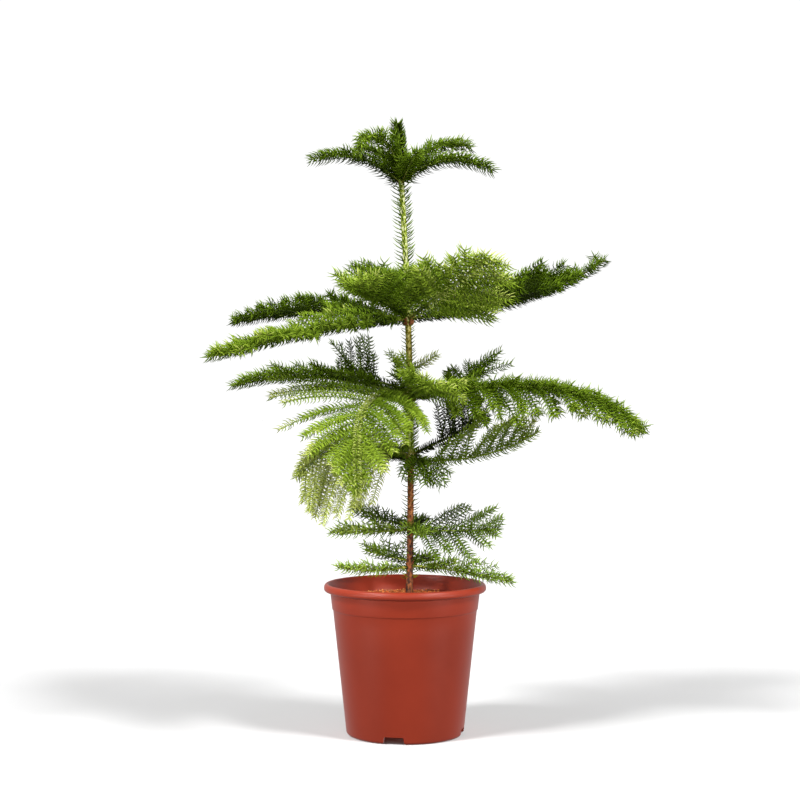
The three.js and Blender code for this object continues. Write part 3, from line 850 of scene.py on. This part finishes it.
def floor_white():
    stops = [(0.0, (0.61, 0.61, 0.61, 1)), (1.0, (0.63, 0.63, 0.63, 1))]
    return clouded_material("studio_floor_white", 0.9, 0.1, scale=3, stops=stops)


def finish_piece(piece, look, slot, *nodes):
    piece.data.materials.clear()
    piece.data.materials.append(look)
    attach(piece, BODY)
    if nodes:
        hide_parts(*nodes)
    return piece


# Pot

def outer_radius(z):
    if z >= STEP_Z:
        return STEP_R_ABOVE + (NECK_R - STEP_R_ABOVE) * (z - STEP_Z) / (LIP_BOTTOM - STEP_Z)
    return BASE_R + (STEP_R_BELOW - BASE_R) * (z - BASE_FILLET) / (STEP_Z - BASE_FILLET)


def inner_radius(z):
    grown = (NECK_R - INNER_TAPER - BASE_R) * (z - BASE_FILLET) / (LIP_BOTTOM - BASE_FILLET)
    return BASE_R + grown - WALL


def arc(centre_r, centre_z, size_r, size_z, start, end, count):
    """Points of a rounded stretch of an outline, by angle from outward to upward."""
    turns = np.radians(np.linspace(start, end, count))
    return [(centre_r + size_r * math.cos(t), centre_z + size_z * math.sin(t)) for t in turns]


def pot_profile():
    """Radius and height along the pot's outline: foot, ring, wall, step, neck, lip, inner wall and floor."""
    ring = BASE_R - RING_WIDE
    neck_z = LIP_BOTTOM - NECK_HIGH
    lip_r, lip_z = RIM_R - LIP_ROUND_R, LIP_BOTTOM + LIP_EASE
    low = FLOOR_TOP + FLOOR_ROUND
    points = [(FOOT_R, 0), (FOOT_R + FOOT_DRAFT, FLOOR_UNDER)]
    points += [(ring + RING_DRAFT, FLOOR_UNDER), (ring, EDGE), (ring + EDGE, 0)]
    points += arc(BASE_R - BASE_FILLET, BASE_FILLET, BASE_FILLET, BASE_FILLET, -85, 0, 7)
    points += [(outer_radius(z), z) for z in WALL_ROWS]
    points += [(STEP_R_BELOW + 0.1, STEP_Z - 0.3), (STEP_R_ABOVE - 0.15, STEP_Z + 0.5)]
    points += [(STEP_R_ABOVE, STEP_Z + 1.2), (outer_radius(neck_z), neck_z)]
    points += [(NECK_R, LIP_BOTTOM - EDGE), (NECK_R + 0.7, LIP_BOTTOM), (lip_r, lip_z)]
    points += arc(lip_r, lip_z + LIP_ROUND_Z, LIP_ROUND_R, LIP_ROUND_Z, -80, 0, 6)
    points += arc(CREST_R, RIM_TOP - CREST_DROP, RIM_R - CREST_R, CREST_DROP, 12, 90, 8)
    points += arc(CREST_R, RIM_TOP - CREST_IN_Z, CREST_IN_R, CREST_IN_Z, 105, 170, 5)
    points += [(inner_radius(LIP_BOTTOM) + 0.9, LIP_BOTTOM + 3), (inner_radius(STEP_Z), STEP_Z)]
    points += [(inner_radius(low), low), (inner_radius(FLOOR_TOP) - FLOOR_ROUND, FLOOR_TOP)]
    return points


def flat_circle(name, sides, radius, high, fill):
    """A new circle at a height, left in edit mode."""
    bpy.ops.object.select_all(action="DESELECT")
    place = (0, 0, high * MM)
    bpy.ops.mesh.primitive_circle_add(vertices=sides, radius=radius * MM, fill_type=fill, location=place)
    piece = bpy.context.active_object
    piece.name = name
    bpy.ops.object.transform_apply(location=True, rotation=True, scale=True)
    bpy.ops.object.mode_set(mode="EDIT")
    return piece


def face_outwards():
    """Turns the faces of the piece in edit mode outwards and leaves that mode."""
    bpy.ops.mesh.select_all(action="SELECT")
    bpy.ops.mesh.normals_make_consistent(inside=False)
    bpy.ops.object.mode_set(mode="OBJECT")


def turned_by_hand(name, profile, sides):
    """A closed turned body: a disc whose edge is extruded and resized along a profile, then capped."""
    r, z = profile[0]
    piece = flat_circle(name, sides, r, z, "NGON")
    bpy.ops.mesh.select_mode(type="EDGE")
    bpy.ops.mesh.select_all(action="SELECT")
    for r_next, z_next in profile[1:]:
        bpy.ops.mesh.extrude_edges_move(TRANSFORM_OT_translate={"value": (0, 0, (z_next - z) * MM)})
        grow = r_next / r
        bpy.ops.transform.resize(value=(grow, grow, 1), center_override=(0, 0, z_next * MM))
        r, z = r_next, z_next
    bpy.ops.mesh.edge_face_add()
    bpy.ops.mesh.select_all(action="SELECT")
    bpy.ops.mesh.remove_doubles(threshold=1e-6)
    face_outwards()
    return piece


def notch_cutter(turn):
    """A block that cuts one drain notch in the foot ring, wider and rounded where it meets the floor."""
    bpy.ops.object.select_all(action="DESELECT")
    half = NOTCH_WIDE / 2
    rows = [(half + NOTCH_ROUND, -1.0), (half + NOTCH_ROUND, 0.0)]
    rows += arc(half + NOTCH_ROUND, NOTCH_ROUND, NOTCH_ROUND, NOTCH_ROUND, 252, 180, 5)
    rows += [(half - 0.7, NOTCH_HIGH - 0.8), (half - 1.6, NOTCH_HIGH)]
    side = rows + [(-y, z) for y, z in reversed(rows)]
    count = len(side)
    places = np.array([(x, y, z) for x in NOTCH_R for y, z in side], dtype=float)
    i = np.arange(count)
    walls = np.stack([i, (i + 1) % count, (i + 1) % count + count, i + count], -1)
    caps = np.stack([i[::-1], i + count])
    cutter = mesh_piece("notch_cutter", places, [walls, caps], smooth=False)
    bpy.context.view_layer.objects.active = cutter
    cutter.select_set(True)
    cutter.rotation_euler = (0, 0, turn)
    bpy.ops.object.transform_apply(location=True, rotation=True, scale=True)
    bpy.ops.object.mode_set(mode="EDIT")
    face_outwards()
    return cutter


def make_pot():
    pot = turned_by_hand("nursery_pot", pot_profile(), POT_SIDES)
    for i in range(NOTCHES):
        cutter = notch_cutter(math.radians(NOTCH_FIRST_DEG + 360 * i / NOTCHES))
        cut = pot.modifiers.new("drain_notch", "BOOLEAN")
        cut.operation = "DIFFERENCE"
        cut.solver = "EXACT"
        cut.object = cutter
        bpy.context.view_layer.objects.active = pot
        bpy.ops.object.modifier_apply(modifier=cut.name)
        bpy.data.objects.remove(cutter)
    bpy.ops.object.select_all(action="DESELECT")
    pot.select_set(True)
    bpy.ops.object.shade_smooth_by_angle(angle=math.radians(POT_SHARP_DEG))
    return finish_piece(pot, pot_plastic(), "pot", "pot")


# Potting mix

def ripple(x, y):
    """An uneven surface: a few crossed waves of falling size."""
    high = 0.0
    for size, tall, turn in WAVES:
        a = 2 * np.pi * (x * math.cos(turn) + y * math.sin(turn)) / size
        b = 2 * np.pi * (y * math.cos(turn) - x * math.sin(turn)) / (size * WAVE_CROSS)
        high = high + tall * np.sin(a + turn) * np.sin(b + 2 * turn)
    return high


def make_soil():
    edge_r = inner_radius(SOIL_Z - SOIL_EDGE_DROP) - SOIL_GAP
    low = FLOOR_TOP + SOIL_OFF_FLOOR
    soil = flat_circle("potting_mix", SOIL_SIDES, edge_r, SOIL_Z, "NOTHING")
    bpy.ops.mesh.select_all(action="SELECT")
    bpy.ops.mesh.fill_grid(span=SOIL_SIDES // 4)
    bpy.ops.mesh.select_all(action="SELECT")
    bpy.ops.mesh.subdivide(number_cuts=SOIL_CUTS)
    bpy.ops.mesh.extrude_region_move(TRANSFORM_OT_translate={"value": (0, 0, (low - SOIL_Z) * MM)})
    shrink = (inner_radius(FLOOR_TOP) - FLOOR_ROUND - SOIL_GAP) / edge_r
    bpy.ops.transform.resize(value=(shrink, shrink, 1), center_override=(0, 0, low * MM))
    face_outwards()
    for v in soil.data.vertices:
        if v.co.z > (low + 1) * MM:
            x, y = v.co.x / MM, v.co.y / MM
            inward = (edge_r - math.hypot(x, y)) / SOIL_SLOPE
            drop = SOIL_EDGE_DROP * max(0, 1 - inward)
            v.co.z = (SOIL_Z - drop + min(1, 0.2 + inward) * SOIL_ROUGH * ripple(x, y)) * MM
    soil.data.shade_smooth()
    return finish_piece(soil, potting_mix(), "soil", "soil")


# Name, colour and size of each kind of crumb
CRUMB_KINDS = [
    ("dark_crumbs", (112, 54, 24), 1.6),
    ("rust_crumbs", (196, 98, 42), 1.6),
    ("tan_crumbs", (216, 140, 78), 1.3),
]


def on_the_mix(edge_r, draw):
    """A place on the mix, drawn evenly within a radius."""
    r = edge_r * math.sqrt(draw())
    turn = 2 * math.pi * draw()
    return r * math.cos(turn), r * math.sin(turn)


def lying_height(x, y):
    return SOIL_Z + CRUMB_ROUGH * float(ripple(x, y))


def make_crumbs():
    """Bits of bark and peat that lie on the mix, each a small uneven eight-faced lump."""
    draw = seeded(CRUMB_SEED)
    edge_r = inner_radius(SOIL_Z) - CRUMB_EDGE
    corners = np.array([(1, 0, 0), (0, 1, 0), (-1, 0, 0), (0, -1, 0), (0, 0, 1), (0, 0, -1)], dtype=float)
    faces = np.array([
        (0, 1, 4), (1, 2, 4), (2, 3, 4), (3, 0, 4),
        (1, 0, 5), (2, 1, 5), (3, 2, 5), (0, 3, 5),
    ])
    for name, colour, size in CRUMB_KINDS:
        places, rows = [], []
        for _ in range(CRUMBS // len(CRUMB_KINDS)):
            x, y = on_the_mix(edge_r, draw)
            if math.hypot(x - FOOT_X, y) < CRUMB_CLEAR:
                continue
            long = size * between(0.5, 1.8, draw())
            shape = vec(long, long * between(0.35, 0.85, draw()), long * between(0.25, 0.6, draw()))
            lump = corners * shape * between(0.75, 1.25, np.array([[draw()] for _ in corners]))
            spin = 2 * math.pi * draw()
            tilt = between(-0.35, 0.35, draw())
            lump = lump @ np.array([
                (math.cos(spin), math.sin(spin), 0),
                (-math.sin(spin), math.cos(spin), 0),
                (0, 0, 1),
            ])
            lump[:, 2] += lump[:, 0] * tilt
            rows.append(faces + len(corners) * len(places))
            places.append(lump + vec(x, y, lying_height(x, y) + CRUMB_RISE))
        piece = mesh_piece(name, np.vstack(places), [np.vstack(rows)], smooth=False)
        finish_piece(piece, crumb_material(f"{name}_skin", linear(*colour)), "soil")


def make_fibres():
    """Loose coir fibres, each a thin bent strand lying on the mix."""
    draw = seeded(FIBRE_SEED)
    edge_r = inner_radius(SOIL_Z) - FIBRE_EDGE
    shares = np.linspace(0, 1, len(FIBRE_RADII))
    strands = []
    for _ in range(FIBRES):
        middle_x, middle_y = on_the_mix(edge_r, draw)
        heading = 2 * math.pi * draw()
        bend = between(-1.2, 1.2, draw())
        long = between(4, 13, draw())
        points = []
        for share in shares:
            s = (share - 0.5) * long
            way = heading + bend * (share - 0.5)
            x = middle_x + s * math.cos(way)
            y = middle_y + s * math.sin(way)
            arch = FIBRE_ARCH * math.sin(math.pi * share)
            points.append((x, y, lying_height(x, y) + arch + FIBRE_RISE))
        strands.append(tube(np.array(points), FIBRE_RADII, FIBRE_SIDES, UP))
    places, faces = joined(strands)
    piece = mesh_piece("coir_fibres", places, faces)
    finish_piece(piece, crumb_material("coir_fibre_skin", linear(168, 106, 58)), "soil")


# Trunk and boughs

def bark_relief(heights):
    """How far the points of the trunk's rings stand out: the needles' bases in a spiral, and grain."""
    turn = 2 * np.pi * np.arange(TRUNK_SIDES) / TRUNK_SIDES
    relief = np.ones((len(heights), TRUNK_SIDES))
    for k in range(int((TOP_Z - SOIL_Z) / CUSHION_GAP)):
        z = SOIL_Z + (k + 0.5) * CUSHION_GAP
        near = np.abs(heights - z) < CUSHION_REACH
        apart = np.angle(np.exp(1j * (turn - np.radians(GOLDEN_DEG) * k)))
        tall = np.exp(-((heights[near] - z) / CUSHION_HIGH) ** 2)
        relief[near] += CUSHION * tall[:, None] * np.exp(-((apart / CUSHION_TURN) ** 2))[None]
    grain = speckled(np.arange(relief.size) * SPECKLE_STEP).reshape(relief.shape)
    return relief + BARK_ROUGH * (grain - 0.5)


def make_trunk():
    heights = np.linspace(SOIL_Z - TRUNK_SUNK, TOP_Z, int((TOP_Z - SOIL_Z) / TRUNK_RING_GAP))
    points = np.array([trunk_axis(z) for z in heights])
    radii = BARK_SKIN * np.array([bark_radius(max(z, SOIL_Z)) for z in heights])
    for whorl in WHORLS:
        radii = radii * (1 + COLLAR * np.exp(-((heights - whorl["z"]) / COLLAR_HIGH) ** 2))
    places, quads, tris = tube(points, radii, TRUNK_SIDES, BACK, bark_relief(heights))
    piece = mesh_piece("trunk_with_bark", places, [quads, tris])
    return finish_piece(piece, trunk_bark(), "trunk_bark", "trunk")


def make_bud_scales():
    """Short brown scales round the trunk, just under the whorls with limbs."""
    draw = seeded(SCALE_SEED)
    rows = []
    for tier in LIMBED_WHORLS:
        z = WHORLS[tier - 1]["z"]
        points = np.array([trunk_axis(h) for h in np.linspace(z - SCALES_HIGH, z, SCALE_POINTS)])
        row = needle_rows(points, BACK, draw, **SCALE_ROW)
        set_on_bark(row)
        row["half"][:] = SCALE_HALF_WIDE
        rows.append(row)
    places, faces = needle_mesh(stacked(rows))
    piece = mesh_piece("bud_scales", places, faces)
    return finish_piece(piece, crumb_material("bud_scale_brown", linear(156, 98, 62)), "trunk_bark")


def make_boughs(boughs):
    bodies, ages = [], []
    for b, stem, _ in boughs:
        rings = max(BOUGH_LEAST_RINGS, int(b["length"] / BOUGH_RING_GAP))
        share = np.linspace(0, 1, rings)
        points = threaded(share, np.linspace(0, 1, len(stem)), stem)
        radii = between(LIMB_R, TIP_R, share ** BOUGH_TAPER) * b["thick"]
        radii = radii * (1 + ROOT_SWELL * np.exp(-share * b["length"] / ROOT_SWELL_LONG))
        grain = speckled(np.arange(rings * BOUGH_SIDES) * SPECKLE_SHIFT + b["seed"])
        relief = 1 + BOUGH_ROUGH * (grain.reshape(rings, BOUGH_SIDES) - 0.5)
        bodies.append(tube(points, radii, BOUGH_SIDES, UP, relief))
        old = np.exp(-share * b["length"] / OLD_BARK_LONG)
        ages.append(np.concatenate([np.repeat(old, BOUGH_SIDES), [old[0], old[-1]]]))
    places, faces = joined(bodies)
    piece = mesh_piece("boughs_with_bark", places, faces)
    age = piece.data.attributes.new("age", "FLOAT", "POINT")
    age.data.foreach_set("value", np.concatenate(ages).astype(np.float32))
    nodes = [f"bough_{b['name']}" for b, _, _ in boughs if b["name"] and b["tier"] in LIMBED_WHORLS]
    return finish_piece(piece, bough_bark(), "bough_bark", *nodes)


def make_twigs(boughs):
    bodies = []
    for b, _, twigs in boughs:
        for twig in twigs:
            points = twig["points"]
            radii = np.linspace(TWIG_R, TWIG_R * TWIG_END, len(points)) * b["thick"]
            bodies.append(tube(points, radii, TWIG_SIDES, twig["top"]))
    places, faces = joined(bodies)
    piece = mesh_piece("green_twigs", places, faces)
    return finish_piece(piece, twig_skin(), "bough_bark")


# Needles on stems, twigs and trunk

def stem_needles(b, stem, draw):
    """Needles along a bough's own stem. The stem key darkens their tone as painted shade, and lightens it as
    painted light on a rib in shade.
    """
    dense, size = (SHOOT_DENSE, SHOOT_SIZE) if b["shoots"] else (b["rib"], max(1, b["needle"]))
    row = needle_rows(stem, UP, draw, a_mm=dense, length=NEEDLE * size, **STEM_ROW)
    grown = np.minimum(1, STEM_GROWN_BY * row["share"])
    row["length"] *= between(SHOOT_ROOT if b["shoots"] else STEM_ROOT, 1, grown)
    if b["shoots"]:
        row["angle"] *= between(SHOOT_ROOT, 1, grown)
    # The stem key here is painted shade where it darkens the tone and painted light where it lightens it.
    row["tone"] = b["tone"] + b["stem"] + STEM_TONE_RISE * row["share"]
    return row


def root_needles(b, stem, draw):
    """Short needles round the root of a bough, darker as painted shade deep inside the whorl."""
    row = needle_rows(stem[:ROOT_STEPS], UP, draw, **ROOT_ROW)
    row["tone"] = b["tone"] * ROOT_TONE - ROOT_TONE_DROP + ROOT_TONE_RISE * row["share"]
    return row


def tuft_needles(b, twig, draw):
    row = needle_rows(twig["points"], twig["top"], draw, **TUFT_ROW)
    tone = b["tone"] + TUFT_TONE_MIX * (twig["draw"] - 0.5) + STEM_TONE_RISE * row["share"]
    row["tone"] = np.minimum(tone, b["cap"])
    return row


def twig_needles(b, twig, draw):
    """Needles along a twig and, where its bough has stars, a ring of long ones at its tip."""
    points, top = twig["points"], twig["top"]
    ring = dict(lifted=TWIG_LIFTED * b["ringed"], ringed=b["ringed"])
    row = needle_rows(points, top, draw, a_mm=b["dense"], length=NEEDLE * b["needle"], **TWIG_ROW, **ring)
    spray = b["mix"] * (twig["draw"] - 0.5) + b["ends"] * (twig["place"] - 0.5)
    tone = b["tone"] + spray - TWIG_TONE_DROP + TWIG_TONE_RISE * row["share"] ** 2
    row["tone"] = np.minimum(tone, b["cap"])
    if not b["star"]:
        return [row]
    star = needle_rows(points[-2:], top, draw, **STAR_ROW)
    star["tone"] = np.full(len(star["length"]), min(b["tone"] + spray + b["star"], b["cap"]))
    return [row, star]


def bough_needles(b, stem, twigs):
    """All needles of one bough with the tone of each."""
    draw = seeded(b["seed"] + NEEDLE_SEED)
    rows = [stem_needles(b, stem, draw), root_needles(b, stem, draw)]
    for twig in twigs:
        rows += [tuft_needles(b, twig, draw)] if twig["tuft"] else twig_needles(b, twig, draw)
    return stacked(rows)


def leader_needles():
    """The needles that stand on the trunk itself, in bands between the whorls."""
    draw = seeded(LEADER_SEED)
    rows = []
    for band in LEADER_BANDS:
        points = np.array([trunk_axis(z) for z in np.linspace(band["low"], band["high"], LEADER_POINTS)])
        ended = LEADER_TIP_SHARE if band["high"] == TOP_Z else 0
        row = needle_rows(points, BACK, draw, tip_share=ended, **band["row"])
        set_on_bark(row)
        row["bend"][:] = band["bend"]
        row["tone"] = band["tone"] + LEADER_TONE_WAVE * np.sin(row["share"] * LEADER_TONE_TURNS)
        rows.append(row)
    return stacked(rows)


def needle_pieces(prefix, rows, looks, *nodes):
    """One joined piece of needles for each tint that the rows have."""
    # Each needle's tone with the painted light of its pointing up or down added.
    tones = rows["tone"] + rows["light"]
    tints = np.clip((tones * TINTS).astype(int), 0, TINTS - 1)
    for tint, look in enumerate(looks):
        chosen = tints == tint
        if not chosen.any():
            continue
        places, faces = needle_mesh({key: value[chosen] for key, value in rows.items()})
        piece = mesh_piece(f"{prefix}_needles_{NEEDLE_GREENS[tint][0]}", places, faces)
        finish_piece(piece, look, "needles", *nodes)


def make_needles(boughs):
    looks, cool = [], []
    for name, colour in NEEDLE_GREENS:
        looks.append(needle_green(name, colour))
        cool.append(needle_green(f"cool_{name}", [a + b for a, b in zip(colour, COOLER)]))
    for tier in range(1, len(WHORLS) + 1):
        own = [entry for entry in boughs if entry[0]["tier"] == tier]
        rows = stacked([bough_needles(*entry) for entry in own])
        nodes = [f"foliage_{b['name']}" for b, _, _ in own if b["name"]]
        needle_pieces(f"whorl_{tier}", rows, cool if tier in LOW_WHORLS else looks, *nodes)
    needle_pieces("leader", leader_needles(), looks)


# Stage

def make_floor():
    bpy.ops.object.select_all(action="DESELECT")
    bpy.ops.mesh.primitive_plane_add(size=FLOOR_WIDE)
    floor = bpy.context.active_object
    floor.name = "studio_floor"
    floor.data.materials.append(floor_white())
    floor.visible_diffuse = False
    floor.visible_glossy = False


def add_lamp(name, kind):
    lamp = bpy.data.lights.new(name, kind)
    return lamp, placed(name, lamp)


def add_sun(name, turn, rise, strength, soft):
    """A soft sun-like lamp. turn is its compass place from the right, rise its height over the floor."""
    lamp, holder = add_lamp(name, "SUN")
    lamp.energy = strength
    lamp.angle = math.radians(soft)
    holder.rotation_euler = (0, math.radians(90 - rise), math.radians(turn))


def add_softbox(name, at, aim, size, watts, grid):
    """A gridded softbox that lights a narrow field and isn't seen itself."""
    lamp, holder = add_lamp(name, "AREA")
    lamp.shape = "RECTANGLE"
    lamp.size, lamp.size_y = size
    lamp.energy = watts
    lamp.spread = math.radians(grid)
    holder.location = at
    holder.rotation_euler = (Vector(aim) - Vector(at)).to_track_quat("-Z", "Y").to_euler()
    holder.visible_camera = False


def make_room():
    """A white room: a dim glow, brighter where a glossy skin mirrors it, and white behind the plant."""
    world = bpy.context.scene.world or bpy.data.worlds.new("studio")
    bpy.context.scene.world = world
    world.use_nodes = True
    tree = world.node_tree
    tree.nodes.clear()
    path = put(tree, "ShaderNodeLightPath")
    room = put(tree, "ShaderNodeBackground", Color=WHITE, Strength=ROOM_GLOW)
    for ray, strength in (("Is Glossy Ray", ROOM_MIRRORED), ("Is Camera Ray", ROOM_BACKDROP)):
        light = put(tree, "ShaderNodeBackground", Color=WHITE, Strength=strength)
        mix = put(tree, "ShaderNodeMixShader")
        tree.links.new(path.outputs[ray], mix.inputs[0])
        tree.links.new(room.outputs[0], mix.inputs[1])
        tree.links.new(light.outputs[0], mix.inputs[2])
        room = mix
    out = put(tree, "ShaderNodeOutputWorld")
    tree.links.new(room.outputs[0], out.inputs["Surface"])


def make_light():
    for sun in SUNS:
        add_sun(**sun)
    for softbox in SOFTBOXES:
        add_softbox(**softbox)
    make_room()
    bpy.context.scene.view_settings.view_transform = "Standard"


def make_camera():
    data = bpy.data.cameras.new("photo_camera")
    data.lens = CAMERA_LENS_MM
    data.sensor_width = SENSOR_MM
    data.clip_start = 0.05
    data.clip_end = 200
    camera = placed("photo_camera", data)
    camera.location = CAMERA_AT
    camera.rotation_euler = (math.radians(90), 0, 0)
    bpy.context.scene.camera = camera


boughs = all_boughs()
make_pot()
make_soil()
make_crumbs()
make_fibres()
make_trunk()
make_bud_scales()
make_boughs(boughs)
make_twigs(boughs)
make_needles(boughs)
make_floor()
make_light()
make_camera()
